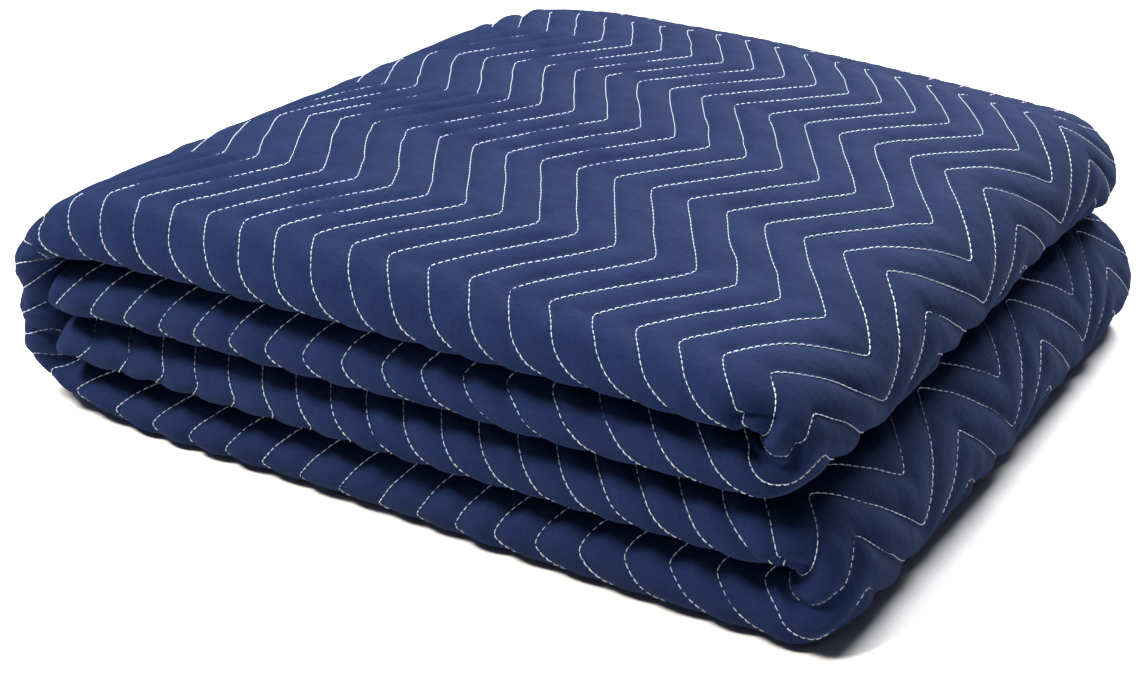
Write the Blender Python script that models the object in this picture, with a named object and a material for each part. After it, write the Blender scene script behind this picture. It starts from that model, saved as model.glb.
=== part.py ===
"""A quilted moving blanket, folded in four along its length and then in four across its width.

The blanket is one sheet of padded cloth. Two lengths place a point on it: s runs across the width,
v runs along the length. The first fold lays the sheet's length back and forth into a pad of four
plies, with its round nose at the front. The second fold lays the pad back and forth into a stack of
four legs, with two round bends at the right and a flat spine at the left. Units are metres, X runs
to the right along the front, Y runs to the back and Z is up.
"""

import bpy
import numpy as np

# The sheet
WIDTH = 1.829
LENGTH = 2.032
PLY = 0.0067
AIR = 0.0013

# The folds: gaps between legs, the spine's corner radius, and how far the free edges stay back
LEG_GAP = 0.003
MIDDLE_GAP = 0.002
SPINE_CORNER = 0.0168
LEG_END_GAP = 0.0025
PLY_END_GAP = 0.001

PITCH = PLY + AIR
SMALL_NOSE = PITCH / 2
BIG_NOSE = 1.5 * PITCH
PAD = BIG_NOSE + PLY / 2
BEND = PAD + LEG_GAP / 2

# Heights of the four legs' middles, from the lowest
LEG_4 = PAD
LEG_3 = LEG_4 + 2 * BEND
LEG_2 = LEG_3 + 2 * PAD + MIDDLE_GAP
LEG_1 = LEG_2 + 2 * BEND
HEIGHT = LEG_1 + PAD

# Where each leg's straight run begins and ends along X, and each ply's along Y
SPINE_X = PAD + SPINE_CORNER
FREE_X = 2 * PAD + LEG_END_GAP
SPINE = LEG_1 - LEG_4 - 2 * SPINE_CORNER
BENDS = 2 * np.pi * BEND + np.pi * SPINE_CORNER
RIGHT_X = (WIDTH + 2 * FREE_X + 2 * SPINE_X - BENDS - SPINE) / 4
LENGTH_X = RIGHT_X + BEND + PAD
FREE_Y = PAD + PLY_END_GAP
NOSES = np.pi * (2 * SMALL_NOSE + BIG_NOSE)
BACK_Y = (LENGTH + 2 * FREE_Y + 2 * PAD - NOSES) / 4
LENGTH_Y = BACK_Y + SMALL_NOSE + PLY / 2

# The quilting: straight lines of stitches that turn back and forth, sewn through the whole ply
LINE_PITCH = 0.0229
LINE_SWING = 0.0210
LINE_PERIOD = 0.143
LINE_X = 0.3987
TURN_Y = 0.3834
PUFF = 0.003

# How far the lines run ahead of the folds along each leg
LINE_SKEW = (
    # leg, at its start, halfway, at its end
    (2, -0.049, -0.034, -0.003),
    (1, 0.0, 0.0, 0.0),
    (4, -0.040, -0.050, -0.020),
    (3, -0.002, -0.023, -0.044),
)

# How far the front noses droop, as a share of their height, and how far back that reaches
DROOP = 0.5
DROOP_REACH = 0.05

# How much thinner each leg is at its front, and how far back that reaches
TAPER = 0.19
TAPER_REACH = 0.028

# The stack's height at its corners, as a share of HEIGHT, and how it swells and sags
FRONT_LEFT, FRONT_RIGHT, BACK_LEFT, BACK_RIGHT = 1.01, 1.02, 1.065, 1.085
CROWN = 0.088
ARCH = 0.04
SAGS = (
    # edge, depth, reach as a share of the side
    ("left", 0.125, 0.085),
    ("right", 0.0, 0.12),
    ("back", 0.11, 0.10),
)
LOOSER_RIGHT = 0.43
TIGHTER_LEFT = -0.20

# How far the underside curls up at the left end, and how far in that reaches as a share of the side
LIFT = 0.013
LIFT_REACH = 0.085

# How far the stack's own weight presses its underside flat
PRESS = 0.0004

# How far the low half of the left end spreads out, and how far in that reaches
FLARE = 0.012
FLARE_REACH = 0.10

# How far each side of the stack has slid: alone, along the side, with the height, and with both
SLIDES = (
    # side, level, along, upwards, along and upwards
    ("right", 0.0046, -0.0169, -0.0370, 0.0005),
    ("left", -0.0125, 0.0126, 0.0004, -0.0052),
    ("front", 0.0109, 0.0050, -0.0300, 0.0023),
    ("back", -0.0111, -0.0177, -0.0007, -0.0028),
)
RIGHT_BULGE = 0.0032
FRONT_BULGE = -0.0025

# Tucks where a bend or the spine meets the front
TUCKS = (
    # run, share of the run, half width, depth towards the back, reach, squeeze
    ("upper bend", 0.42, 0.011, 0.011, 0.042, 0.20),
    ("upper bend", 0.74, 0.009, 0.006, 0.030, 0.10),
    ("lower bend", 0.55, 0.011, 0.009, 0.036, 0.18),
    ("top corner", 0.50, 0.008, 0.002, 0.034, 0.05),
    ("spine", 0.30, 0.008, 0.003, 0.030, 0.06),
    ("spine", 0.72, 0.008, 0.003, 0.030, 0.06),
    ("low corner", 0.50, 0.008, 0.002, 0.030, 0.04),
)

# How finely each stretch is divided
LEG_STEPS = 5
BEND_STEPS = 7
CORNER_STEPS = 3
SPINE_STEPS = 3
PLY_STEPS = 4
NOSE_STEPS = 6
SMALL_NOSE_STEPS = 5
ROWS_PER_PERIOD = 6
SHOWN_MARGIN = 0.016

NAVY = (0.030, 0.048, 0.110, 1.0)


def lay_path(runs, x, z):
    """Return the start, length, radius, x, z and heading of runs that only turn left, and their sum."""
    path = []
    heading = 0.0
    reached = 0.0
    for length, radius in runs:
        path.append((reached, length, radius, x, z, heading))
        if radius:
            turned = heading + length / radius
            x = x + radius * (np.sin(turned) - np.sin(heading))
            z = z - radius * (np.cos(turned) - np.cos(heading))
            heading = turned
        else:
            x = x + length * np.cos(heading)
            z = z + length * np.sin(heading)
        reached += length
    return path, reached


def along(path, at):
    """Return x, z and the heading at lengths along a path."""
    at = np.atleast_1d(np.asarray(at, float))
    x, z, heading = np.zeros((3,) + at.shape)
    for start, length, radius, run_x, run_z, run_heading in path:
        here = (at >= start) | (start == 0)
        reach = at[here] - start
        if radius:
            turned = run_heading + reach / radius
            x[here] = run_x + radius * (np.sin(turned) - np.sin(run_heading))
            z[here] = run_z - radius * (np.cos(turned) - np.cos(run_heading))
            heading[here] = turned
        else:
            x[here] = run_x + reach * np.cos(run_heading)
            z[here] = run_z + reach * np.sin(run_heading)
            heading[here] = run_heading
    return x, z, heading


STRIP_RUNS = {
    # run: length, radius
    "leg 2": (RIGHT_X - FREE_X, 0),
    "upper bend": (np.pi * BEND, BEND),
    "leg 1": (RIGHT_X - SPINE_X, 0),
    "top corner": (np.pi / 2 * SPINE_CORNER, SPINE_CORNER),
    "spine": (SPINE, 0),
    "low corner": (np.pi / 2 * SPINE_CORNER, SPINE_CORNER),
    "leg 4": (RIGHT_X - SPINE_X, 0),
    "lower bend": (np.pi * BEND, BEND),
    "leg 3": (RIGHT_X - FREE_X, 0),
}
STRIP, STRIP_END = lay_path(STRIP_RUNS.values(), FREE_X, LEG_2)
STRIP_START = {name: run[0] for name, run in zip(STRIP_RUNS, STRIP)}

SECTION_RUNS = (
    (BACK_Y - FREE_Y, 0),
    (np.pi * SMALL_NOSE, SMALL_NOSE),
    (BACK_Y - PAD, 0),
    (np.pi * BIG_NOSE, BIG_NOSE),
    (BACK_Y - PAD, 0),
    (np.pi * SMALL_NOSE, SMALL_NOSE),
    (BACK_Y - FREE_Y, 0),
)
SECTION, SECTION_END = lay_path(SECTION_RUNS, FREE_Y, SMALL_NOSE)
SECTION_BREAKS = [run[0] for run in SECTION] + [SECTION_END]


def smooth(share):
    """Rise smoothly from 0 to 1 as the share does."""
    share = np.clip(share, 0, 1)
    return share * share * (3 - 2 * share)


def cloth_width(s):
    """Return how far round the pad's outer ply s lies, so the quilting keeps its pitch on bends."""
    return s + 0.8 * PAD * along(STRIP, s)[2]


def cloth_length(v):
    """Return how far along the sheet's outward face v lies."""
    return v + PLY / 2 * along(SECTION, v)[2]


NOSE_START = cloth_length(SECTION_BREAKS[3])[0]
FIRST_TURN = NOSE_START + PAD - TURN_Y
FIRST_LINE = cloth_width(STRIP_START["leg 1"])[0] + RIGHT_X - LINE_X


def skew(s):
    """Return how far the lines run ahead of the folds."""
    places = []
    values = []
    for leg, first, halfway, last in LINE_SKEW:
        start = STRIP_START[f"leg {leg}"]
        length = STRIP_RUNS[f"leg {leg}"][0]
        places += [start, start + length / 2, start + length]
        values += [first, halfway, last]
    return np.interp(s, places, values)


def line_count(s, v):
    """Count stitched lines across the cloth: whole numbers lie on a line, halves midway between two."""
    turn = (cloth_length(v) - FIRST_TURN - skew(s)) / (LINE_PERIOD / 2)
    swing = 2 * np.abs(1 - np.mod(turn, 2)) - 1
    return (cloth_width(s) + LINE_SWING * swing - FIRST_LINE) / LINE_PITCH


def shown_across(s):
    """Return 1 where the outer upper ply shows, on leg 1, the spine and both bends, and 0 elsewhere."""
    free = np.zeros_like(s)
    for first, after in (("upper bend", "leg 4"), ("lower bend", "leg 3")):
        inside = np.minimum(s - STRIP_START[first], STRIP_START[after] - s)
        free = np.maximum(free, smooth(inside / SHOWN_MARGIN))
    return free


def shown(s, v):
    """Return how far a point of the outward face is free to puff up: 1 where it shows, 0 where hidden."""
    nose = (v - SECTION_BREAKS[3]) / (SECTION_BREAKS[4] - SECTION_BREAKS[3])
    front = np.clip(1.5 * np.sin(np.pi * np.clip(nose, 0, 1)), 0, 1)
    top = (v > SECTION_BREAKS[2]) & (nose < 0.5)
    back = smooth((v - SECTION_BREAKS[2]) / 0.01)
    return np.maximum(front, np.where(top, shown_across(s) * back, 0))


def puff(s, v):
    """Return how far the padding stands out between the lines, and the stitches draw in along them."""
    between = 1 - 2 * np.abs(np.mod(line_count(s, v), 1) - 0.5)
    return PUFF * (between - 0.5) * shown(s, v)


def tucked(s, y, w):
    """Draw the front in at the tucks, and squeeze the pad there."""
    for run, share, half_width, depth, reach, squeeze in TUCKS:
        middle = STRIP_START[run] + share * STRIP_RUNS[run][0]
        fall = np.exp(-((s - middle) / half_width) ** 2 - (y / reach) ** 2)
        y = y + depth * fall
        w = w * (1 - squeeze * fall)
    return y, w


def slide(side, share, height):
    """Return how far a side has slid at a share of its length and of the height."""
    for name, level, with_share, with_height, with_both in SLIDES:
        if name == side:
            return level + with_share * share + with_height * height + with_both * share * height


def settled(x, y, z):
    """Give the even stack its swells, sags and slides."""
    a = x / LENGTH_X
    b = y / LENGTH_Y
    c = z / HEIGHT
    level = (1 - b) * ((1 - a) * FRONT_LEFT + a * FRONT_RIGHT)
    level = level + b * ((1 - a) * BACK_LEFT + a * BACK_RIGHT)
    across = 1 - (2 * a - 1) ** 2
    level = level + CROWN * across * (1 - (2 * b - 1) ** 2) + ARCH * across
    from_edge = {"left": a, "right": 1 - a, "back": 1 - b}
    for edge, depth, reach in SAGS:
        level = level - depth * np.exp(-((from_edge[edge] / reach) ** 2))
    spread = c + c * (1 - c) * (TIGHTER_LEFT + LOOSER_RIGHT * a)
    moved_x = x + a * slide("right", b, c) + (1 - a) * slide("left", b, c)
    moved_x = moved_x + a * RIGHT_BULGE * 4 * b * (1 - b)
    moved_x = moved_x - FLARE * np.exp(-((a / FLARE_REACH) ** 2)) * smooth((0.9 - c) / 0.7)
    moved_y = y + b * slide("back", a, c) + (1 - b) * slide("front", a, c)
    moved_y = moved_y + (1 - b) * FRONT_BULGE * 4 * a * (1 - a)
    lift = LIFT * np.exp(-((a / LIFT_REACH) ** 2)) * (1 - c) * (1 - 0.5 * b)
    return moved_x, moved_y, np.maximum(HEIGHT * spread * level + lift - PRESS, 0)


def fold(s, v, rise):
    """Place points of the sheet. Rise is measured from the middle of the ply, out of its outward face."""
    y, w, heading = along(SECTION, v)
    y = y + rise * np.sin(heading)
    w = w - rise * np.cos(heading)
    y, w = tucked(s, y, w)
    w = w * (1 - TAPER * np.exp(-((y / TAPER_REACH) ** 2)))
    x, z, heading = along(STRIP, s)
    y = y - DROOP * w * np.cos(heading) * np.exp(-((y / DROOP_REACH) ** 2))
    return np.stack(settled(x + w * np.sin(heading), y, z - w * np.cos(heading)), axis=-1)


def plain_columns():
    """Return the places across the strip where a row without quilting has its points."""
    steps = {"leg": LEG_STEPS, "upper": BEND_STEPS, "lower": BEND_STEPS, "spine": SPINE_STEPS}
    columns = []
    for name, (length, _) in STRIP_RUNS.items():
        count = CORNER_STEPS if "corner" in name else steps[name.split()[0]]
        columns.append(STRIP_START[name] + length * np.arange(count) / count)
    return np.append(np.concatenate(columns), STRIP_END)


def quilted_columns(v, across):
    """Return the places of the lines, and midway between them, where a row shows, else the plain ones."""
    fine = np.linspace(0, STRIP_END, 6000)
    count = line_count(fine, np.full_like(fine, v))
    halves = np.arange(np.ceil(2 * count[0] + 0.4), 2 * count[-1] - 0.4) / 2
    lines = np.interp(halves, count, fine)
    if not across:
        return np.concatenate([[0.0], lines, [STRIP_END]])
    lines = lines[shown_across(lines) > 0]
    plain = plain_columns()
    plain = plain[np.abs(plain[:, None] - lines).min(axis=1) > 0.6 * LINE_PITCH]
    plain = plain[shown_across(plain) == 0]
    return np.sort(np.concatenate([plain, lines]))


def outward_rows():
    """Return the rows of the outward face: v, the places across and whether they follow the quilting."""
    first, back_1, top, nose, under, back_2, last, end = SECTION_BREAKS
    rows = [(v, plain_columns(), False) for v in np.linspace(first, back_1, PLY_STEPS + 1)]
    small = np.pi * SMALL_NOSE * np.arange(1, SMALL_NOSE_STEPS + 1) / SMALL_NOSE_STEPS
    rows += [(back_1 + reach, plain_columns(), False) for reach in small]
    step = LINE_PERIOD / ROWS_PER_PERIOD
    number = np.arange(-60, 60)
    sewn = FIRST_TURN + step * number - (NOSE_START - nose)
    sewn = sewn[(sewn > top + step / 2) & (sewn < nose - step / 2)]
    rows += [(v, quilted_columns(v, True), True) for v in sewn]
    around = np.linspace(nose, under, NOSE_STEPS + 1)
    rows += [(v, quilted_columns(v, False), True) for v in around]
    rows += [(v, plain_columns(), False) for v in np.linspace(under, back_2, PLY_STEPS + 1)[1:]]
    rows += [(back_2 + reach, plain_columns(), False) for reach in small]
    rows += [(v, plain_columns(), False) for v in np.linspace(last, end, PLY_STEPS + 1)[1:]]
    return rows


def inward_rows():
    """Return the rows of the inward face, all plain, from the far end of the sheet back to the first."""
    places = []
    steps = (PLY_STEPS, SMALL_NOSE_STEPS, PLY_STEPS, NOSE_STEPS, PLY_STEPS, SMALL_NOSE_STEPS, PLY_STEPS)
    for start, stop, count in zip(SECTION_BREAKS, SECTION_BREAKS[1:], steps):
        places += list(start + (stop - start) * np.arange(count) / count)
    places.append(SECTION_END)
    return [(v, plain_columns(), False) for v in reversed(places)]


def stitch(points, first, second, first_at, second_at):
    """Fill between two chains of points with triangles, going up both chains in step.

    Where both reach the same place at once, the diagonal that runs towards the back right is used,
    so the plies above each other bend alike.
    """
    triangles = []
    i = 0
    j = 0
    while i < len(first) - 1 or j < len(second) - 1:
        ends_second = j == len(second) - 1
        ends_first = i == len(first) - 1
        takes_first = ends_second or (not ends_first and first_at[i + 1] < second_at[j + 1])
        if not ends_first and not ends_second and abs(first_at[i + 1] - second_at[j + 1]) < 1e-6:
            across = points[second[j + 1]] - points[first[i]]
            takes_first = across[0] * across[1] < 0
        if takes_first:
            triangles.append((first[i], first[i + 1], second[j]))
            i += 1
        else:
            triangles.append((first[i], second[j + 1], second[j]))
            j += 1
    return triangles


def build_blanket():
    """Make the folded sheet as one closed solid."""
    outward = outward_rows()
    rows = outward + inward_rows()
    points = []
    chains = []
    counted = 0
    for number, (v, across, _) in enumerate(rows):
        lengths = np.full_like(across, v)
        if number < len(outward):
            rise = PLY / 2 + puff(across, lengths)
        else:
            rise = np.full_like(across, -PLY / 2)
        points.append(fold(across, lengths, rise))
        chains.append(np.arange(counted, counted + len(across)))
        counted += len(across)
    points = np.concatenate(points)
    triangles = []
    for number, (v, across, sewn) in enumerate(rows):
        after = (number + 1) % len(rows)
        next_v, next_across, next_sewn = rows[after]
        at = across
        next_at = next_across
        if sewn and next_sewn:
            at = line_count(across, np.full_like(across, v))
            next_at = line_count(next_across, np.full_like(next_across, next_v))
        triangles += stitch(points, chains[number], chains[after], at, next_at)
    split = len(outward)
    places = [row[0] for row in rows]
    for end in (0, -1):
        out_chain = [chain[end] for chain in chains[:split]]
        in_chain = [chain[end] for chain in reversed(chains[split:])]
        out_at = places[:split]
        in_at = places[split:][::-1]
        if end == 0:
            triangles += stitch(points, out_chain, in_chain, out_at, in_at)
        else:
            triangles += stitch(points, in_chain, out_chain, in_at, out_at)
    low = points.min(axis=0)
    high = points.max(axis=0)
    points = points - [(low[0] + high[0]) / 2, (low[1] + high[1]) / 2, low[2]]
    mesh = bpy.data.meshes.new("moving_blanket")
    mesh.from_pydata(points.tolist(), [], [[int(corner) for corner in face] for face in triangles])
    mesh.update()
    blanket = bpy.data.objects.new("moving_blanket", mesh)
    bpy.context.collection.objects.link(blanket)
    mesh.shade_smooth()
    mesh.set_sharp_from_angle(angle=np.radians(50))
    return blanket


def navy_cloth():
    """Make the plain navy cloth."""
    material = bpy.data.materials.new("navy_quilted_cloth")
    material.use_nodes = True
    shader = material.node_tree.nodes["Principled BSDF"]
    shader.inputs["Base Color"].default_value = NAVY
    shader.inputs["Roughness"].default_value = 0.9
    shader.inputs["Metallic"].default_value = 0.0
    return material


for old in list(bpy.data.objects):
    bpy.data.objects.remove(old, do_unlink=True)
build_blanket().data.materials.append(navy_cloth())
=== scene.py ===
import bpy
import numpy as np
from mathutils import Matrix, Vector


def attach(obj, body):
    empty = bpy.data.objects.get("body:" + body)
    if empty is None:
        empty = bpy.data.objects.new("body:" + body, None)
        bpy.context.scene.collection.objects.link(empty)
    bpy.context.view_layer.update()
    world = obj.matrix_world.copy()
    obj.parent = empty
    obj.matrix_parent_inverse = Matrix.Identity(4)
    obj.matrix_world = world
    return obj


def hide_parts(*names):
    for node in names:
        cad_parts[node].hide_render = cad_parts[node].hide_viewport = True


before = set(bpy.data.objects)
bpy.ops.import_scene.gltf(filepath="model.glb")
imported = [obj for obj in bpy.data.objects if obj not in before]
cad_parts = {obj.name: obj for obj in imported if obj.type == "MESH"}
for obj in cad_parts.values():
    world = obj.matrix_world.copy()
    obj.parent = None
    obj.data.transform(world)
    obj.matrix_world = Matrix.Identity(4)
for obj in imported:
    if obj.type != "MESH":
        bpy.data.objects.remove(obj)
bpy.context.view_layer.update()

# A quilted moving blanket, folded in four along its length and then in four across its width.
# Two lengths place a point on the sheet: s runs across the width, v runs along the length.
# Units are metres, X runs to the right along the front, Y runs to the back and Z is up.

# The sheet
WIDTH = 1.829
LENGTH = 2.032
PLY = 0.0067
AIR = 0.0013

# The folds: gaps between legs, the spine's corner radius, and how far the free edges stay back
LEG_GAP = 0.003
MIDDLE_GAP = 0.002
SPINE_CORNER = 0.0168
LEG_END_GAP = 0.0025
PLY_END_GAP = 0.001

PITCH = PLY + AIR
SMALL_NOSE = PITCH / 2
BIG_NOSE = 1.5 * PITCH
PAD = BIG_NOSE + PLY / 2
BEND = PAD + LEG_GAP / 2

# Heights of the four legs' middles, from the lowest
LEG_4 = PAD
LEG_3 = LEG_4 + 2 * BEND
LEG_2 = LEG_3 + 2 * PAD + MIDDLE_GAP
LEG_1 = LEG_2 + 2 * BEND
HEIGHT = LEG_1 + PAD

# Where each leg's straight run begins and ends along X, and each ply's along Y
SPINE_X = PAD + SPINE_CORNER
FREE_X = 2 * PAD + LEG_END_GAP
SPINE = LEG_1 - LEG_4 - 2 * SPINE_CORNER
BENDS = 2 * np.pi * BEND + np.pi * SPINE_CORNER
RIGHT_X = (WIDTH + 2 * FREE_X + 2 * SPINE_X - BENDS - SPINE) / 4
LENGTH_X = RIGHT_X + BEND + PAD
FREE_Y = PAD + PLY_END_GAP
NOSES = np.pi * (2 * SMALL_NOSE + BIG_NOSE)
BACK_Y = (LENGTH + 2 * FREE_Y + 2 * PAD - NOSES) / 4
LENGTH_Y = BACK_Y + SMALL_NOSE + PLY / 2

# The quilting: lines of stitches that turn back and forth, sewn through the whole ply, how sharply
# they turn, how far they stray, and how much of a bend's extra length the cloth's map takes up
LINE_PITCH = 0.0229
LINE_SWING = 0.0210
LINE_PERIOD = 0.143
LINE_X = 0.3987
TURN_Y = 0.3834
TURN_SHARPNESS = 0.992
LINE_WANDER = 0.0009
OUTER_SHARE = 0.8
PUFF = 0.0026

# How far the lines run ahead of the folds along each leg
LINE_SKEW = (
    # leg, at its start, halfway, at its end
    (2, -0.049, -0.034, -0.003),
    (1, 0.0, 0.0, 0.0),
    (4, -0.040, -0.050, -0.020),
    (3, -0.002, -0.023, -0.044),
)

# How far the front noses droop, as a share of their height, and how far back that reaches
DROOP = 0.5
DROOP_REACH = 0.05

# How much thinner each leg is at its front, and how far back that reaches
TAPER = 0.19
TAPER_REACH = 0.028

# The stack's height at its corners, as a share of HEIGHT, how it swells and sags, and how much
# looser its upper plies lie at the right than at the left
FRONT_LEFT, FRONT_RIGHT, BACK_LEFT, BACK_RIGHT = 1.01, 1.02, 1.065, 1.085
CROWN = 0.088
ARCH = 0.04
SAGS = (
    # edge, depth, reach as a share of the side
    ("left", 0.125, 0.085),
    ("back", 0.11, 0.10),
)
LOOSER_RIGHT = 0.43
TIGHTER_LEFT = -0.20

# How far the underside curls up at the left end, and how far in that reaches as a share of the side
LIFT = 0.013
LIFT_REACH = 0.085

# How far the stack's own weight presses its underside flat
PRESS = 0.0004

# How far the left end spreads out, how far in that reaches as a share of the side, where it has
# faded out as a share of the height, and over what share of the height it fades
FLARE = 0.012
FLARE_REACH = 0.10
FLARE_TOP = 0.9
FLARE_FADE = 0.7

# How far each side of the stack has slid: alone, along the side, with the height, and with both.
# Two sides bulge as well, most of all midway along.
SLIDES = (
    # side, level, along, upwards, along and upwards
    ("right", 0.0046, -0.0169, -0.0370, 0.0005),
    ("left", -0.0125, 0.0126, 0.0004, -0.0052),
    ("front", 0.0109, 0.0050, -0.0300, 0.0023),
    ("back", -0.0111, -0.0177, -0.0007, -0.0028),
)
RIGHT_BULGE = 0.0032
FRONT_BULGE = -0.0025

# Tucks where a bend or the spine meets the front
TUCKS = (
    # run, share of the run, half width, depth towards the back, reach, squeeze
    ("upper bend", 0.42, 0.011, 0.011, 0.042, 0.20),
    ("upper bend", 0.74, 0.009, 0.006, 0.030, 0.10),
    ("lower bend", 0.55, 0.011, 0.009, 0.036, 0.18),
    ("top corner", 0.50, 0.008, 0.002, 0.034, 0.05),
    ("spine", 0.30, 0.008, 0.003, 0.030, 0.06),
    ("spine", 0.72, 0.008, 0.003, 0.030, 0.06),
    ("low corner", 0.50, 0.008, 0.002, 0.030, 0.04),
)

# Creases, listed one by one: lengths along a run, and past the start of the front nose
CREASES = (
    # run, from along, from past, to along, to past, half width, depth
    ("upper bend", 0.0040, 0.0310, 0.0125, 0.0215, 0.0028, 0.0052),
    ("upper bend", 0.0125, 0.0215, 0.0155, 0.0120, 0.0028, 0.0062),
    ("upper bend", 0.0155, 0.0120, 0.0290, 0.0080, 0.0028, 0.0058),
    ("upper bend", 0.0360, 0.0120, 0.0480, 0.0220, 0.0026, 0.0050),
    ("upper bend", 0.0330, 0.0260, 0.0360, 0.0120, 0.0026, 0.0030),
    ("upper bend", 0.0230, 0.0250, 0.0250, 0.0170, 0.0050, -0.0035),
    ("lower bend", 0.0010, 0.0300, 0.0140, 0.0200, 0.0030, 0.0055),
    ("lower bend", 0.0140, 0.0200, 0.0210, 0.0060, 0.0028, 0.0045),
    ("lower bend", 0.0330, 0.0200, 0.0520, 0.0320, 0.0030, 0.0050),
    ("leg 3", 0.0050, 0.0290, 0.0150, 0.0160, 0.0030, 0.0024),
    ("leg 1", 0.3780, 0.0250, 0.4080, 0.0060, 0.0034, 0.0034),
    ("top corner", 0.0020, 0.0300, 0.0180, 0.0140, 0.0030, 0.0028),
    ("spine", 0.0040, 0.0300, 0.0120, 0.0140, 0.0034, 0.0028),
    ("spine", 0.0290, 0.0340, 0.0300, 0.0120, 0.0036, 0.0032),
    ("spine", 0.0560, 0.0320, 0.0500, 0.0140, 0.0034, 0.0026),
    ("leg 3", 0.3400, 0.0260, 0.3640, 0.0400, 0.0034, 0.0020),
    ("leg 2", 0.3800, 0.0220, 0.3560, 0.0400, 0.0034, 0.0022),
)

# The padding's relief: how steeply it dips at a line, how its fullness varies, the heights of
# puckers, wrinkles and swells, and how much of it the taut spine loses
PILLOW_POWER = 2.1
FULLNESS = 0.3
PUCKER = 0.0009
WRINKLE = 0.0006
SWELL = 0.0012
SPINE_EASE = 0.55

# Random unevenness
PATCHES = {
    # what: size along the width, size along the length, seed
    "drift": (0.05, 0.021, 3),
    "jitter": (0.012, 0.009, 4),
    "fullness": (0.045, 0.060, 11),
    "pucker": (0.010, 0.0075, 12),
    "wrinkle": (0.016, 0.013, 13),
    "swell": (0.085, 0.11, 14),
}

# The thread: a stitch's pitch and the gap after it, the rod's radius and sides, and each ring's
# place along the stitch, height over the cloth and share of the radius
STITCH = 0.0041
STITCH_GAP = 0.0005
THREAD = 0.00036
THREAD_SIDES = 3
RINGS = (
    # place, height, share
    (0.0, 0.0001, 0.6),
    (0.25, 0.0006, 1.0),
    (0.75, 0.0006, 1.0),
    (1.0, 0.0001, 0.6),
)
RING_PLACES, RING_HEIGHTS, RING_SHARES = np.array(RINGS).T

# How finely a line and its normals are traced, and how far its stitches go on past the noses
TRACE_STEP = 0.0005
NORMAL_STEP = 0.0005
TRACE_MARGIN = 0.006
THREAD_PAST_BACK = 0.004
THREAD_PAST_FRONT = 0.007

# How finely the mesh is divided: columns to a line, and every how many of them a hidden row keeps
COLUMNS_PER_LINE = 8
BACK_STRIDE = 3
HIDDEN_STRIDE = 5
ROW = 0.00265
PLY_STEPS = 5
BACK_STEPS = 8
TAIL_STEPS = 3
RAMP_STEPS = 6
INWARD_STEPS = (5, 5, 5, 8, 5, 5, 5)
CENTRE_STEPS = 900
CENTRE_ROWS = 1200

# Over what lengths the quilting and the columns that follow it fade out: under the front nose, on
# the hidden plies, at the sheet's edges, beside a hidden leg, at the back and beside the spine
NOSE_TAIL = 0.012
RAMP = 0.06
END_RAMP = 0.045
SHOWN_MARGIN = 0.016
BACK_MARGIN = 0.01
TAUT_MARGIN = 0.03

# The cloth: a yarn's width, how often a slub changes across and along its yarn, the heights of the
# relief, and the tones of all three materials
YARN = 0.0011
SLUB_FINE = 900.0
SLUB_LONG = 60.0
WEAVE_HEIGHT = 0.00010
SLUB_HEIGHT = 0.00014
MOTTLE_HEIGHT = 0.00022
RUMPLE_HEIGHT = 0.0018
NAVY_DARK = (0.0085, 0.0175, 0.058, 1.0)
NAVY_FADED = (0.0205, 0.0390, 0.115, 1.0)
SHEEN = (0.55, 0.65, 1.0, 1.0)
THREAD_DULL = (0.54, 0.61, 0.74, 1.0)
THREAD_PALE = (0.76, 0.83, 0.96, 1.0)
FLOOR_DULL = (0.93, 0.93, 0.93, 1.0)
FLOOR_PALE = (0.95, 0.95, 0.95, 1.0)

# The floor, just under the blanket, and the lights round it
FLOOR_SIZE = 12.0
FLOOR_GAP = 0.0004
WORLD_LIGHT = 0.055
LIGHTS = (
    # name, place, height of its aim, size, power, colour
    ("key", (0.15, 1.95, 1.7), 0.0, 0.9, 82, (1.0, 1.0, 1.0)),
    ("front", (-0.75, -1.3, 1.95), 0.05, 0.6, 70, (1.0, 0.94, 0.85)),
    ("overhead", (-0.2, -0.1, 2.4), 0.0, 1.6, 14, (1.0, 1.0, 1.0)),
)

# The camera: where it looks, from how far and at what angles, and its focal length in image pixels
AZIMUTH, ELEVATION, ROLL = 29.674, 23.859, 3.009
DISTANCE = 1.2624
TARGET = (0.1921, 0.2366, 0.0112)
FOCAL = 2161.6
IMAGE_WIDTH = 1148
SENSOR = 36.0


def lay_path(runs, x, z):
    """Return the start, length, radius, x, z and heading of runs that only turn left, and their sum."""
    path = []
    heading = 0.0
    reached = 0.0
    for length, radius in runs:
        path.append((reached, length, radius, x, z, heading))
        if radius:
            turned = heading + length / radius
            x = x + radius * (np.sin(turned) - np.sin(heading))
            z = z - radius * (np.cos(turned) - np.cos(heading))
            heading = turned
        else:
            x = x + length * np.cos(heading)
            z = z + length * np.sin(heading)
        reached += length
    return path, reached


def along(path, at):
    """Return x, z and the heading at lengths along a path."""
    at = np.atleast_1d(np.asarray(at, float))
    x, z, heading = np.zeros((3,) + at.shape)
    for start, length, radius, run_x, run_z, run_heading in path:
        here = (at >= start) | (start == 0)
        reach = at[here] - start
        if radius:
            turned = run_heading + reach / radius
            x[here] = run_x + radius * (np.sin(turned) - np.sin(run_heading))
            z[here] = run_z - radius * (np.cos(turned) - np.cos(run_heading))
            heading[here] = turned
        else:
            x[here] = run_x + reach * np.cos(run_heading)
            z[here] = run_z + reach * np.sin(run_heading)
            heading[here] = run_heading
    return x, z, heading


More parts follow.
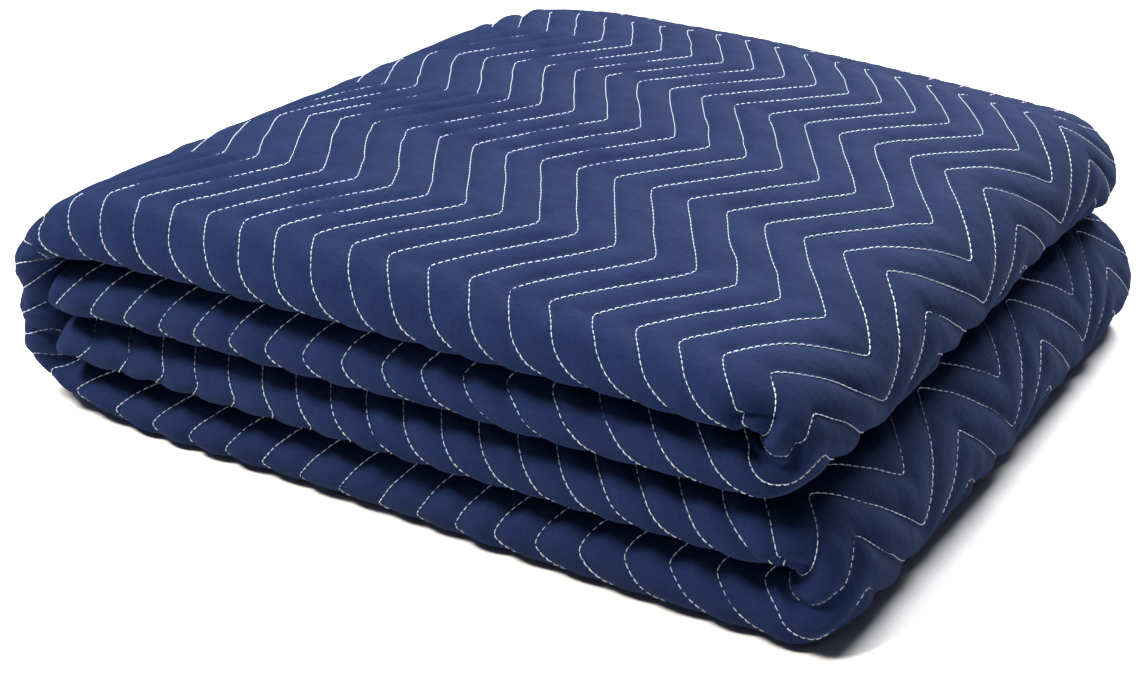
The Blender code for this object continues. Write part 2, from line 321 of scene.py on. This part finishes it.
STRIP_RUNS = {
    # run: length, radius
    "leg 2": (RIGHT_X - FREE_X, 0),
    "upper bend": (np.pi * BEND, BEND),
    "leg 1": (RIGHT_X - SPINE_X, 0),
    "top corner": (np.pi / 2 * SPINE_CORNER, SPINE_CORNER),
    "spine": (SPINE, 0),
    "low corner": (np.pi / 2 * SPINE_CORNER, SPINE_CORNER),
    "leg 4": (RIGHT_X - SPINE_X, 0),
    "lower bend": (np.pi * BEND, BEND),
    "leg 3": (RIGHT_X - FREE_X, 0),
}
STRIP, STRIP_END = lay_path(STRIP_RUNS.values(), FREE_X, LEG_2)
STRIP_START = {name: run[0] for name, run in zip(STRIP_RUNS, STRIP)}

SECTION_RUNS = (
    (BACK_Y - FREE_Y, 0),
    (np.pi * SMALL_NOSE, SMALL_NOSE),
    (BACK_Y - PAD, 0),
    (np.pi * BIG_NOSE, BIG_NOSE),
    (BACK_Y - PAD, 0),
    (np.pi * SMALL_NOSE, SMALL_NOSE),
    (BACK_Y - FREE_Y, 0),
)
SECTION, SECTION_END = lay_path(SECTION_RUNS, FREE_Y, SMALL_NOSE)
FIRST_EDGE, BACK_1, TOP, NOSE, UNDER, BACK_2, LAST, LAST_EDGE = [run[0] for run in SECTION] + [SECTION_END]


def smooth(share):
    """Rise smoothly from 0 to 1 as the share does."""
    share = np.clip(share, 0, 1)
    return share * share * (3 - 2 * share)


def uneven(what, s, length):
    """Return smooth random heights from -1 to 1: a grid of random numbers, blended in between."""
    size_across, size_along, seed = PATCHES[what]
    x = s / size_across
    y = length / size_along
    grid = np.random.default_rng(seed).uniform(-1, 1, (256, 256))
    column = np.floor(x).astype(int)
    row = np.floor(y).astype(int)
    over = smooth(x - column)
    up = smooth(y - row)
    near = grid[column % 256, row % 256] * (1 - over) + grid[(column + 1) % 256, row % 256] * over
    far = grid[column % 256, (row + 1) % 256] * (1 - over)
    far = far + grid[(column + 1) % 256, (row + 1) % 256] * over
    return near * (1 - up) + far * up


def cloth_width(s):
    """Return how far round the pad's outer ply s lies, so the quilting keeps its pitch on bends."""
    return s + OUTER_SHARE * PAD * along(STRIP, s)[2]


def cloth_length(v):
    """Return how far along the sheet's outward face v lies."""
    return v + PLY / 2 * along(SECTION, v)[2]


STRIP_BREAKS = np.array([run[0] for run in STRIP] + [STRIP_END])
WIDTH_BREAKS = cloth_width(STRIP_BREAKS)
SECTION_BREAKS = np.array([run[0] for run in SECTION] + [SECTION_END])
LENGTH_BREAKS = cloth_length(SECTION_BREAKS)
FIRST_TURN = cloth_length(NOSE)[0] + PAD - TURN_Y
FIRST_LINE = cloth_width(STRIP_START["leg 1"])[0] + RIGHT_X - LINE_X


def skew(s):
    """Return how far the lines run ahead of the folds."""
    places = []
    values = []
    for leg, first, halfway, last in LINE_SKEW:
        start = STRIP_START[f"leg {leg}"]
        length = STRIP_RUNS[f"leg {leg}"][0]
        places += [start, start + length / 2, start + length]
        values += [first, halfway, last]
    return np.interp(s, places, values)


def swing(s, v):
    """Return how far a line swings sideways at a place: a wave of straight runs with rounded turns."""
    along_cloth = cloth_length(v)
    turn = (along_cloth - FIRST_TURN - skew(s)) / (LINE_PERIOD / 2)
    wave = np.arcsin(TURN_SHARPNESS * np.cos(np.pi * turn)) / np.arcsin(TURN_SHARPNESS)
    wander = uneven("drift", s, along_cloth) + 0.5 * uneven("jitter", s, along_cloth)
    return LINE_SWING * wave + LINE_WANDER * wander


def line_count(s, v):
    """Count stitched lines across the cloth: whole numbers lie on a line, halves midway between two."""
    return (cloth_width(s) + swing(s, v) - FIRST_LINE) / LINE_PITCH


def shown_across(s):
    """Return 1 where the outer upper ply shows, on leg 1, the spine and both bends, and 0 elsewhere."""
    free = np.zeros_like(s)
    for first, after in (("upper bend", "leg 4"), ("lower bend", "leg 3")):
        inside = np.minimum(s - STRIP_START[first], STRIP_START[after] - s)
        free = np.maximum(free, smooth(inside / SHOWN_MARGIN))
    return free


def taut(s):
    """Return 1 on the spine, where the cloth is drawn flat, and 0 elsewhere."""
    inside = np.minimum(s - STRIP_START["top corner"], STRIP_START["leg 4"] - s)
    return smooth(0.5 + inside / TAUT_MARGIN)


def shown(s, v):
    """Return how far a point of the outward face is free to puff up: 1 where it shows, 0 where hidden."""
    nose = (v - NOSE) / (UNDER - NOSE)
    front = np.clip(1.5 * np.sin(np.pi * np.clip(nose, 0, 1)), 0, 1)
    top = (v > TOP) & (nose < 0.5)
    free = np.maximum(front, np.where(top, shown_across(s) * smooth((v - TOP) / BACK_MARGIN), 0))
    for start, end in ((BACK_1, TOP), (BACK_2, LAST)):
        free = np.maximum(free, np.sin(np.pi * np.clip((v - start) / (end - start), 0, 1)))
    return free


def creased(s, v):
    """Return how deep the listed creases are: each a soft trough along a straight piece of cloth."""
    depth = np.zeros_like(s)
    past = v - NOSE
    for run, from_s, from_v, to_s, to_v, half_width, deepest in CREASES:
        start = STRIP_START[run] + from_s
        across = to_s - from_s
        length = to_v - from_v
        share = ((s - start) * across + (past - from_v) * length) / (across**2 + length**2)
        share = np.clip(share, 0, 1)
        away = np.hypot(s - start - share * across, past - from_v - share * length)
        trough = deepest * np.exp(-((away / half_width) ** 2))
        depth = np.where(np.abs(trough) > np.abs(depth), trough, depth)
    return depth


def puff(s, v):
    """Return how far the face stands out from the middle ply's plane: pillows, puckers and swells.

    A pillow is one less a steep power of the nearness to a line, so the cloth dips sharply along the
    stitches. Puckers are short noise that dies away from a line, and swells are long noise.
    """
    count = line_count(s, v)
    length = cloth_length(v)
    nearness = np.abs(2 * np.mod(count, 1) - 1)
    pillow = 1 - nearness ** PILLOW_POWER
    fullness = 1 + FULLNESS * uneven("fullness", s, length)
    height = PUFF * (pillow * fullness - 0.5)
    pucker = uneven("pucker", s, length) * nearness ** 2 * (1 - nearness ** 6)
    wrinkle = uneven("wrinkle", s, length) * (1 - nearness ** 4)
    swell = uneven("swell", s, length)
    relief = height + PUCKER * pucker + WRINKLE * wrinkle + SWELL * swell
    relief = (1 - SPINE_EASE * taut(s)) * relief
    return shown(s, v) * (relief - creased(s, v))


def tucked(s, y, w):
    """Draw the front in at the tucks, and squeeze the pad there."""
    for run, share, half_width, depth, reach, squeeze in TUCKS:
        middle = STRIP_START[run] + share * STRIP_RUNS[run][0]
        fall = np.exp(-((s - middle) / half_width) ** 2 - (y / reach) ** 2)
        y = y + depth * fall
        w = w * (1 - squeeze * fall)
    return y, w


def slide(side, share, height):
    """Return how far a side has slid at a share of its length and of the height."""
    for name, level, with_share, with_height, with_both in SLIDES:
        if name == side:
            return level + with_share * share + with_height * height + with_both * share * height


def settled(x, y, z):
    """Give the even stack its swells, sags and slides."""
    a = x / LENGTH_X
    b = y / LENGTH_Y
    c = z / HEIGHT
    level = (1 - b) * ((1 - a) * FRONT_LEFT + a * FRONT_RIGHT)
    level = level + b * ((1 - a) * BACK_LEFT + a * BACK_RIGHT)
    across = 1 - (2 * a - 1) ** 2
    level = level + CROWN * across * (1 - (2 * b - 1) ** 2) + ARCH * across
    from_edge = {"left": a, "back": 1 - b}
    for edge, depth, reach in SAGS:
        level = level - depth * np.exp(-((from_edge[edge] / reach) ** 2))
    spread = c + c * (1 - c) * (TIGHTER_LEFT + LOOSER_RIGHT * a)
    moved_x = x + a * slide("right", b, c) + (1 - a) * slide("left", b, c)
    moved_x = moved_x + a * RIGHT_BULGE * 4 * b * (1 - b)
    moved_x = moved_x - FLARE * np.exp(-((a / FLARE_REACH) ** 2)) * smooth((FLARE_TOP - c) / FLARE_FADE)
    moved_y = y + b * slide("back", a, c) + (1 - b) * slide("front", a, c)
    moved_y = moved_y + (1 - b) * FRONT_BULGE * 4 * a * (1 - a)
    lift = LIFT * np.exp(-((a / LIFT_REACH) ** 2)) * (1 - c) * (1 - 0.5 * b)
    return moved_x, moved_y, HEIGHT * spread * level + lift - PRESS


def fold(s, v, rise):
    """Place points of the sheet. Rise is measured from the middle of the ply, out of its outward face."""
    y, w, heading = along(SECTION, v)
    y = y + rise * np.sin(heading)
    w = w - rise * np.cos(heading)
    y, w = tucked(s, y, w)
    w = w * (1 - TAPER * np.exp(-((y / TAPER_REACH) ** 2)))
    x, z, heading = along(STRIP, s)
    y = y - DROOP * w * np.cos(heading) * np.exp(-((y / DROOP_REACH) ** 2))
    return np.stack(settled(x + w * np.sin(heading), y, z - w * np.cos(heading)), axis=-1)


def even_columns():
    """Return the columns' places as cloth widths: the sheet's two edges, and even steps on the lines."""
    step = LINE_PITCH / COLUMNS_PER_LINE
    first = np.ceil((WIDTH_BREAKS[0] + step / 2 - FIRST_LINE) / step)
    last = np.floor((WIDTH_BREAKS[-1] - step / 2 - FIRST_LINE) / step)
    inner = FIRST_LINE + step * np.arange(first, last + 1)
    return np.concatenate([WIDTH_BREAKS[:1], inner, WIDTH_BREAKS[-1:]])


def follows(v):
    """Return how closely the columns follow the swinging lines at v: fully where the cloth shows."""
    front = np.minimum(v - BACK_1, UNDER + NOSE_TAIL - v)
    back = np.minimum(v - BACK_2, LAST - v)
    return np.maximum(smooth(1 + front / RAMP), smooth(1 + back / RAMP))


def place_columns(v, outward):
    """Return where across the strip each column crosses a row."""
    widths = even_columns()
    s = np.interp(widths, WIDTH_BREAKS, STRIP_BREAKS)
    if not outward:
        return s
    inside = smooth(s / END_RAMP) * smooth((STRIP_END - s) / END_RAMP)
    moved = widths - follows(v) * inside * swing(s, np.full_like(s, v))
    return np.interp(moved, WIDTH_BREAKS, STRIP_BREAKS)


def outward_rows():
    """Return the outward face's rows as v and the kind of row."""
    top_steps = round((NOSE - TOP) / ROW)
    nose_steps = round((cloth_length(UNDER)[0] - cloth_length(NOSE)[0]) / ROW)
    stretches = (
        # from, to, steps, kind
        (FIRST_EDGE, BACK_1 - RAMP, PLY_STEPS, "hidden"),
        (BACK_1 - RAMP, BACK_1, RAMP_STEPS, "hidden"),
        (BACK_1, TOP, BACK_STEPS, "back"),
        (TOP, NOSE, top_steps, "top"),
        (NOSE, UNDER, nose_steps, "nose"),
        (UNDER, UNDER + NOSE_TAIL, TAIL_STEPS, "nose"),
        (UNDER + NOSE_TAIL, UNDER + NOSE_TAIL + RAMP, RAMP_STEPS, "hidden"),
        (UNDER + NOSE_TAIL + RAMP, BACK_2 - RAMP, PLY_STEPS, "hidden"),
        (BACK_2 - RAMP, BACK_2, RAMP_STEPS, "hidden"),
        (BACK_2, LAST, BACK_STEPS, "back"),
        (LAST, LAST + RAMP, RAMP_STEPS, "hidden"),
        (LAST + RAMP, LAST_EDGE, PLY_STEPS, "hidden"),
    )
    rows = []
    for start, end, steps, kind in stretches:
        rows += [(start + (end - start) * step / steps, kind) for step in range(steps)]
    return rows + [(LAST_EDGE, "hidden")]


def inward_rows():
    """Return the inward face's rows, from the far end of the sheet back to the first."""
    rows = []
    for start, end, count in zip(SECTION_BREAKS, SECTION_BREAKS[1:], INWARD_STEPS):
        rows += [(start + (end - start) * step / count, "hidden") for step in range(count)]
    rows.append((LAST_EDGE, "hidden"))
    return rows[::-1]


def kept_columns(kind):
    """Return which columns a kind of row has."""
    widths = even_columns()
    s = np.interp(widths, WIDTH_BREAKS, STRIP_BREAKS)
    number = np.arange(len(widths))
    hidden = (number % HIDDEN_STRIDE == 0) | (number == len(widths) - 1)
    if kind == "hidden":
        return hidden
    if kind == "back":
        return hidden | (number % BACK_STRIDE == 0)
    if kind == "top":
        return hidden | (shown_across(s) > 0)
    return np.ones(len(widths), bool)


def join_rows(first, second):
    """Return the faces between two rows, each given as its columns and its first point's number.

    Rows meet at the columns that both keep. Between two such columns lies one face, with any finer
    points of either row on its sides.
    """
    (kept_1, start_1), (kept_2, start_2) = first, second
    shared = np.flatnonzero(kept_1 & kept_2)
    place_1 = np.cumsum(kept_1)[shared] - 1
    place_2 = np.cumsum(kept_2)[shared] - 1
    steps = np.stack([np.diff(place_1), np.diff(place_2)], axis=1)
    faces = []
    for step_1, step_2 in np.unique(steps, axis=0):
        alike = np.flatnonzero((steps == (step_1, step_2)).all(axis=1))
        side_1 = start_1 + place_1[alike, None] + np.arange(step_1 + 1)
        side_2 = start_2 + place_2[alike, None] + np.arange(step_2, -1, -1)
        faces += np.concatenate([side_1, side_2], axis=1).tolist()
    return faces


def close_end(out_points, out_at, in_points, in_at, flip):
    """Return the faces that close one free edge of the sheet, one for each step of the inward rows."""
    nearest = np.abs(out_at[:, None] - in_at).argmin(axis=0)
    nearest[0] = 0
    nearest[-1] = len(out_at) - 1
    faces = []
    for step in range(len(in_at) - 1):
        side = out_points[nearest[step] : nearest[step + 1] + 1].tolist()
        face = side + [int(in_points[step + 1]), int(in_points[step])]
        faces.append(face[::-1] if flip else face)
    return faces


def new_piece(name, points, faces):
    """Make a smooth mesh object."""
    mesh = bpy.data.meshes.new(name)
    mesh.from_pydata(points.tolist(), [], faces)
    mesh.shade_smooth()
    mesh.update()
    piece = bpy.data.objects.new(name, mesh)
    bpy.context.scene.collection.objects.link(piece)
    return piece


def quilted_sheet():
    """Make the whole folded sheet, both faces and its edges, as one closed mesh."""
    outward = outward_rows()
    rows = outward + inward_rows()
    laid = []
    widths = []
    lengths = []
    rises = []
    counted = 0
    for number, (v, kind) in enumerate(rows):
        kept = kept_columns(kind)
        out = number < len(outward)
        s = place_columns(v, out)[kept]
        here = np.full_like(s, v)
        laid.append((kept, counted))
        widths.append(s)
        lengths.append(here)
        rises.append(PLY / 2 + puff(s, here) if out else np.full_like(s, -PLY / 2))
        counted += len(s)
    s = np.concatenate(widths)
    v = np.concatenate(lengths)
    points = fold(s, v, np.concatenate(rises)) - CENTRE
    points[:, 2] = np.maximum(points[:, 2], 0)
    faces = []
    for number, row in enumerate(laid):
        faces += join_rows(row, laid[(number + 1) % len(laid)])
    split = len(outward)
    at = np.array([row[0] for row in rows])
    firsts = np.array([start for _, start in laid])
    lasts = firsts + np.array([kept.sum() for kept, _ in laid]) - 1
    for ends, flip in ((firsts, False), (lasts, True)):
        faces += close_end(ends[:split], at[:split], ends[split:][::-1], at[split:][::-1], flip)
    blanket = new_piece("quilted_blanket", points, faces)
    add_cloth_map(blanket, cloth_width(s), cloth_length(v))
    return blanket


def add_cloth_map(piece, widths, lengths):
    """Lay the piece's UV map out flat, in metres of cloth."""
    corners = np.empty(len(piece.data.loops), np.int32)
    piece.data.loops.foreach_get("vertex_index", corners)
    flat = np.stack([widths[corners], lengths[corners]], axis=1)
    layer = piece.data.uv_layers.new(name="cloth")
    layer.data.foreach_set("uv", flat.ravel())


def stitch_places(line):
    """Return where each stitch of one line begins and ends, as places across and lengths along."""
    fine = np.arange(LENGTH_BREAKS[1] - TRACE_MARGIN, LENGTH_BREAKS[6] + TRACE_MARGIN, TRACE_STEP)
    v = np.interp(fine, LENGTH_BREAKS, SECTION_BREAKS)
    width = FIRST_LINE + line * LINE_PITCH
    s = np.full_like(v, np.interp(width, WIDTH_BREAKS, STRIP_BREAKS))
    for _ in range(3):
        place = width - swing(s, v)
        s = np.interp(place, WIDTH_BREAKS, STRIP_BREAKS)
    on_cloth = np.minimum(place - WIDTH_BREAKS[0], WIDTH_BREAKS[-1] - place) > STITCH / 2
    steps = np.hypot(np.diff(cloth_width(s)), np.diff(fine))
    reached = np.concatenate([[0], np.cumsum(steps)])
    starts = np.arange(0, reached[-1] - STITCH, STITCH)
    within = starts[:, None] + RING_PLACES * (STITCH - STITCH_GAP)
    within = within[(np.interp(within, reached, on_cloth) == 1).all(axis=1)]
    return np.interp(within, reached, s), np.interp(within, reached, v)


def thread_shows(s, v):
    """Return where the thread is worth making: on every nose, and on the ply that shows."""
    noses = np.zeros(s.shape, bool)
    for start, end, past in (
        (BACK_1, TOP, THREAD_PAST_BACK),
        (NOSE, UNDER, THREAD_PAST_FRONT),
        (BACK_2, LAST, THREAD_PAST_BACK),
    ):
        noses |= (v > start - past) & (v < end + past)
    return noses | ((v > TOP) & (v < NOSE) & (shown_across(s) > 0))


def quilting_thread():
    """Make every stitch that shows: a short rounded rod, whose ends dip into the cloth.

    Each stitch is four rings of a few points. The rings lie across the line, on the cloth's own
    normal, and the end rings are smaller and lower than the middle ones.
    """
    first = int(np.ceil((WIDTH_BREAKS[0] - FIRST_LINE - LINE_SWING) / LINE_PITCH))
    last = int(np.floor((WIDTH_BREAKS[-1] - FIRST_LINE + LINE_SWING) / LINE_PITCH))
    places = [stitch_places(line) for line in range(first, last + 1)]
    s = np.concatenate([place[0] for place in places])
    v = np.concatenate([place[1] for place in places])
    kept = thread_shows(s[:, 1], v[:, 1])
    s = s[kept]
    v = v[kept]
    rise = PLY / 2 + puff(s.ravel(), v.ravel()).reshape(s.shape) + RING_HEIGHTS
    middle = fold(s.ravel(), v.ravel(), rise.ravel()).reshape(s.shape + (3,))
    above = fold(s.ravel(), v.ravel(), rise.ravel() + NORMAL_STEP).reshape(s.shape + (3,))
    ahead = np.gradient(middle, axis=1)
    up = above - middle
    side = np.cross(ahead, up)
    side /= np.linalg.norm(side, axis=2, keepdims=True)
    up = np.cross(side, ahead)
    up /= np.linalg.norm(up, axis=2, keepdims=True)
    radius = THREAD * RING_SHARES[None, :, None, None]
    angle = np.pi / 2 - 2 * np.pi * np.arange(THREAD_SIDES) / THREAD_SIDES
    ring = side[:, :, None] * np.cos(angle)[:, None] + up[:, :, None] * np.sin(angle)[:, None]
    points = (middle[:, :, None] + radius * ring).reshape(-1, 3) - CENTRE
    points[:, 2] = np.maximum(points[:, 2], 0)
    corner = np.arange(THREAD_SIDES)
    after = (corner + 1) % THREAD_SIDES
    sides = np.stack([corner, after, after + THREAD_SIDES, corner + THREAD_SIDES], axis=1)
    joins = len(RINGS) - 1
    sides = (sides + THREAD_SIDES * np.arange(joins)[:, None, None]).reshape(-1, 4)
    caps = np.stack([corner[::-1], corner + joins * THREAD_SIDES])
    firsts = len(RINGS) * THREAD_SIDES * np.arange(len(s))[:, None, None]
    faces = (sides + firsts).reshape(-1, 4).tolist()
    faces += (caps + firsts).reshape(-1, THREAD_SIDES).tolist()
    return new_piece("quilting_thread", points, faces)


class Signal:
    """A shader socket that takes part in arithmetic. Its node method makes any other node."""

    def __init__(self, tree, socket=None):
        self.tree = tree
        self.socket = socket

    def node(self, kind, inputs, output=0, **settings):
        made = self.tree.nodes.new(kind)
        for name, value in settings.items():
            setattr(made, name, value)
        for name, value in inputs.items():
            if isinstance(value, Signal):
                self.tree.links.new(value.socket, made.inputs[name])
            else:
                made.inputs[name].default_value = value
        return Signal(self.tree, made.outputs[output])

    def __add__(self, other):
        return self.node("ShaderNodeMath", {0: self, 1: other}, operation="ADD")

    def __radd__(self, other):
        return self.node("ShaderNodeMath", {0: other, 1: self}, operation="ADD")

    def __sub__(self, other):
        return self.node("ShaderNodeMath", {0: self, 1: other}, operation="SUBTRACT")

    def __rsub__(self, other):
        return self.node("ShaderNodeMath", {0: other, 1: self}, operation="SUBTRACT")

    def __mul__(self, other):
        return self.node("ShaderNodeMath", {0: self, 1: other}, operation="MULTIPLY")

    def __rmul__(self, other):
        return self.node("ShaderNodeMath", {0: other, 1: self}, operation="MULTIPLY")


def sine(signal):
    """Return the sine of a signal."""
    return signal.node("ShaderNodeMath", {0: signal}, operation="SINE")


def blend(low, high, share):
    """Return a colour between two colours."""
    inputs = {0: share, 6: low, 7: high}
    return share.node("ShaderNodeMix", inputs, output=2, data_type="RGBA", clamp_factor=True)


def speckle(make, place, scale, detail, stretch=None):
    """Return random tones from 0 to 1 at a place, on stretched coordinates where a stretch is given."""
    if stretch:
        place = make.node("ShaderNodeMapping", {"Vector": place, "Scale": stretch})
    return make.node("ShaderNodeTexNoise", {"Vector": place, "Scale": scale, "Detail": detail})


def new_material(name):
    """Return a material, its Principled shader and a signal that makes its nodes."""
    material = bpy.data.materials.new(name)
    material.use_nodes = True
    return material, material.node_tree.nodes["Principled BSDF"], Signal(material.node_tree)


def cloth_material():
    """Make navy woven cloth: a plain weave, uneven yarns, and clouds of slightly faded dye."""
    material, shader, make = new_material("navy_quilted_cloth")
    place = make.node("ShaderNodeUVMap", {}, uv_map="cloth")
    across = make.node("ShaderNodeSeparateXYZ", {0: place}, output=0)
    length = make.node("ShaderNodeSeparateXYZ", {0: place}, output=1)
    weave = sine(across * (2 * np.pi / YARN)) * sine(length * (2 * np.pi / YARN))
    slub = speckle(make, place, 1.0, 2.0, (SLUB_FINE, SLUB_LONG, 1.0))
    cross = speckle(make, place, 1.0, 2.0, (SLUB_LONG, SLUB_FINE, 1.0))
    cloud = speckle(make, place, 26.0, 3.0)
    mottle = speckle(make, place, 420.0, 2.0)
    rumple = speckle(make, place, 85.0, 3.0)
    faded = cloud * 0.5 + slub * 0.5 + cross * 0.5 + mottle * 0.4 + weave * 0.06 - 0.45
    height = weave * WEAVE_HEIGHT + slub * SLUB_HEIGHT + cross * SLUB_HEIGHT
    height = height + mottle * MOTTLE_HEIGHT + rumple * RUMPLE_HEIGHT
    bump = make.node("ShaderNodeBump", {"Height": height, "Strength": 0.55, "Distance": 1.0})
    links = material.node_tree.links
    links.new(blend(NAVY_DARK, NAVY_FADED, faded).socket, shader.inputs["Base Color"])
    links.new((0.92 - cloud * 0.12).socket, shader.inputs["Roughness"])
    links.new(bump.socket, shader.inputs["Normal"])
    shader.inputs["Sheen Weight"].default_value = 0.03
    shader.inputs["Sheen Roughness"].default_value = 0.5
    shader.inputs["Sheen Tint"].default_value = SHEEN
    shader.inputs["Specular IOR Level"].default_value = 0.12
    return material


def thread_material():
    """Make pale bluish white sewing thread."""
    material, shader, make = new_material("pale_thread")
    place = make.node("ShaderNodeTexCoord", {}, output=3)
    tone = blend(THREAD_DULL, THREAD_PALE, speckle(make, place, 160.0, 2.0))
    material.node_tree.links.new(tone.socket, shader.inputs["Base Color"])
    shader.inputs["Roughness"].default_value = 0.55
    return material


def stage_floor():
    """Make the plain pale floor."""
    mesh = bpy.data.meshes.new("floor")
    half = FLOOR_SIZE / 2
    corners = [(-half, -half, 0), (half, -half, 0), (half, half, 0), (-half, half, 0)]
    mesh.from_pydata(corners, [], [(0, 1, 2, 3)])
    floor = bpy.data.objects.new("floor", mesh)
    floor.location.z = -FLOOR_GAP
    bpy.context.scene.collection.objects.link(floor)
    material, shader, make = new_material("pale_floor")
    place = make.node("ShaderNodeTexCoord", {}, output=3)
    tone = blend(FLOOR_DULL, FLOOR_PALE, speckle(make, place, 3.0, 1.0))
    material.node_tree.links.new(tone.socket, shader.inputs["Base Color"])
    shader.inputs["Roughness"].default_value = 0.9
    shader.inputs["Specular IOR Level"].default_value = 0.1
    mesh.materials.append(material)


def light_studio():
    """Light the stage across the top from behind, and from high at the front left and above."""
    for name, place, aim, size, power, colour in LIGHTS:
        light = bpy.data.lights.new(name, "AREA")
        light.size = size
        light.energy = power
        light.color = colour
        lamp = bpy.data.objects.new(name, light)
        lamp.location = place
        lamp.rotation_mode = "QUATERNION"
        lamp.rotation_quaternion = (Vector((0, 0, aim)) - Vector(place)).to_track_quat("-Z", "Y")
        bpy.context.scene.collection.objects.link(lamp)
    world = bpy.data.worlds.new("studio")
    world.use_nodes = True
    world.node_tree.nodes["Background"].inputs["Color"].default_value = (1.0, 1.0, 1.0, 1.0)
    world.node_tree.nodes["Background"].inputs["Strength"].default_value = WORLD_LIGHT
    bpy.context.scene.world = world
    bpy.context.scene.view_settings.view_transform = "Standard"
    bpy.context.scene.view_settings.look = "Medium High Contrast"


def place_camera():
    """Stand the camera at the photograph's angle."""
    azimuth, elevation, roll = np.radians((AZIMUTH, ELEVATION, ROLL))
    level = np.cos(elevation)
    back = Vector((np.sin(azimuth) * level, -np.cos(azimuth) * level, np.sin(elevation)))
    right = (-back).cross(Vector((0, 0, 1))).normalized()
    up = right.cross(-back)
    turned_right = np.cos(roll) * right + np.sin(roll) * up
    turned_up = np.cos(roll) * up - np.sin(roll) * right
    camera = bpy.data.cameras.new("camera")
    camera.sensor_width = SENSOR
    camera.lens = FOCAL * SENSOR / IMAGE_WIDTH
    eye = bpy.data.objects.new("camera", camera)
    turn = Matrix((turned_right, turned_up, back)).transposed().to_4x4()
    eye.matrix_world = Matrix.Translation(Vector(TARGET) - Vector(CENTRE) + back * DISTANCE) @ turn
    bpy.context.scene.collection.objects.link(eye)
    bpy.context.scene.camera = eye


def stack_centre():
    """Return the middle of the plain folded stack's box, on the floor, where the frame has its origin."""
    s, v = np.meshgrid(np.linspace(0, STRIP_END, CENTRE_STEPS), np.linspace(0, SECTION_END, CENTRE_ROWS))
    points = fold(s.ravel(), v.ravel(), np.full(s.size, PLY / 2))
    middle = (points.min(axis=0) + points.max(axis=0)) / 2
    return np.array([middle[0], middle[1], 0.0])


CENTRE = stack_centre()
blanket = quilted_sheet()
blanket.data.materials.append(cloth_material())
thread = quilting_thread()
thread.data.materials.append(thread_material())
for piece in (blanket, thread):
    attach(piece, "root")
    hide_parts("moving_blanket")
stage_floor()
light_studio()
place_camera()
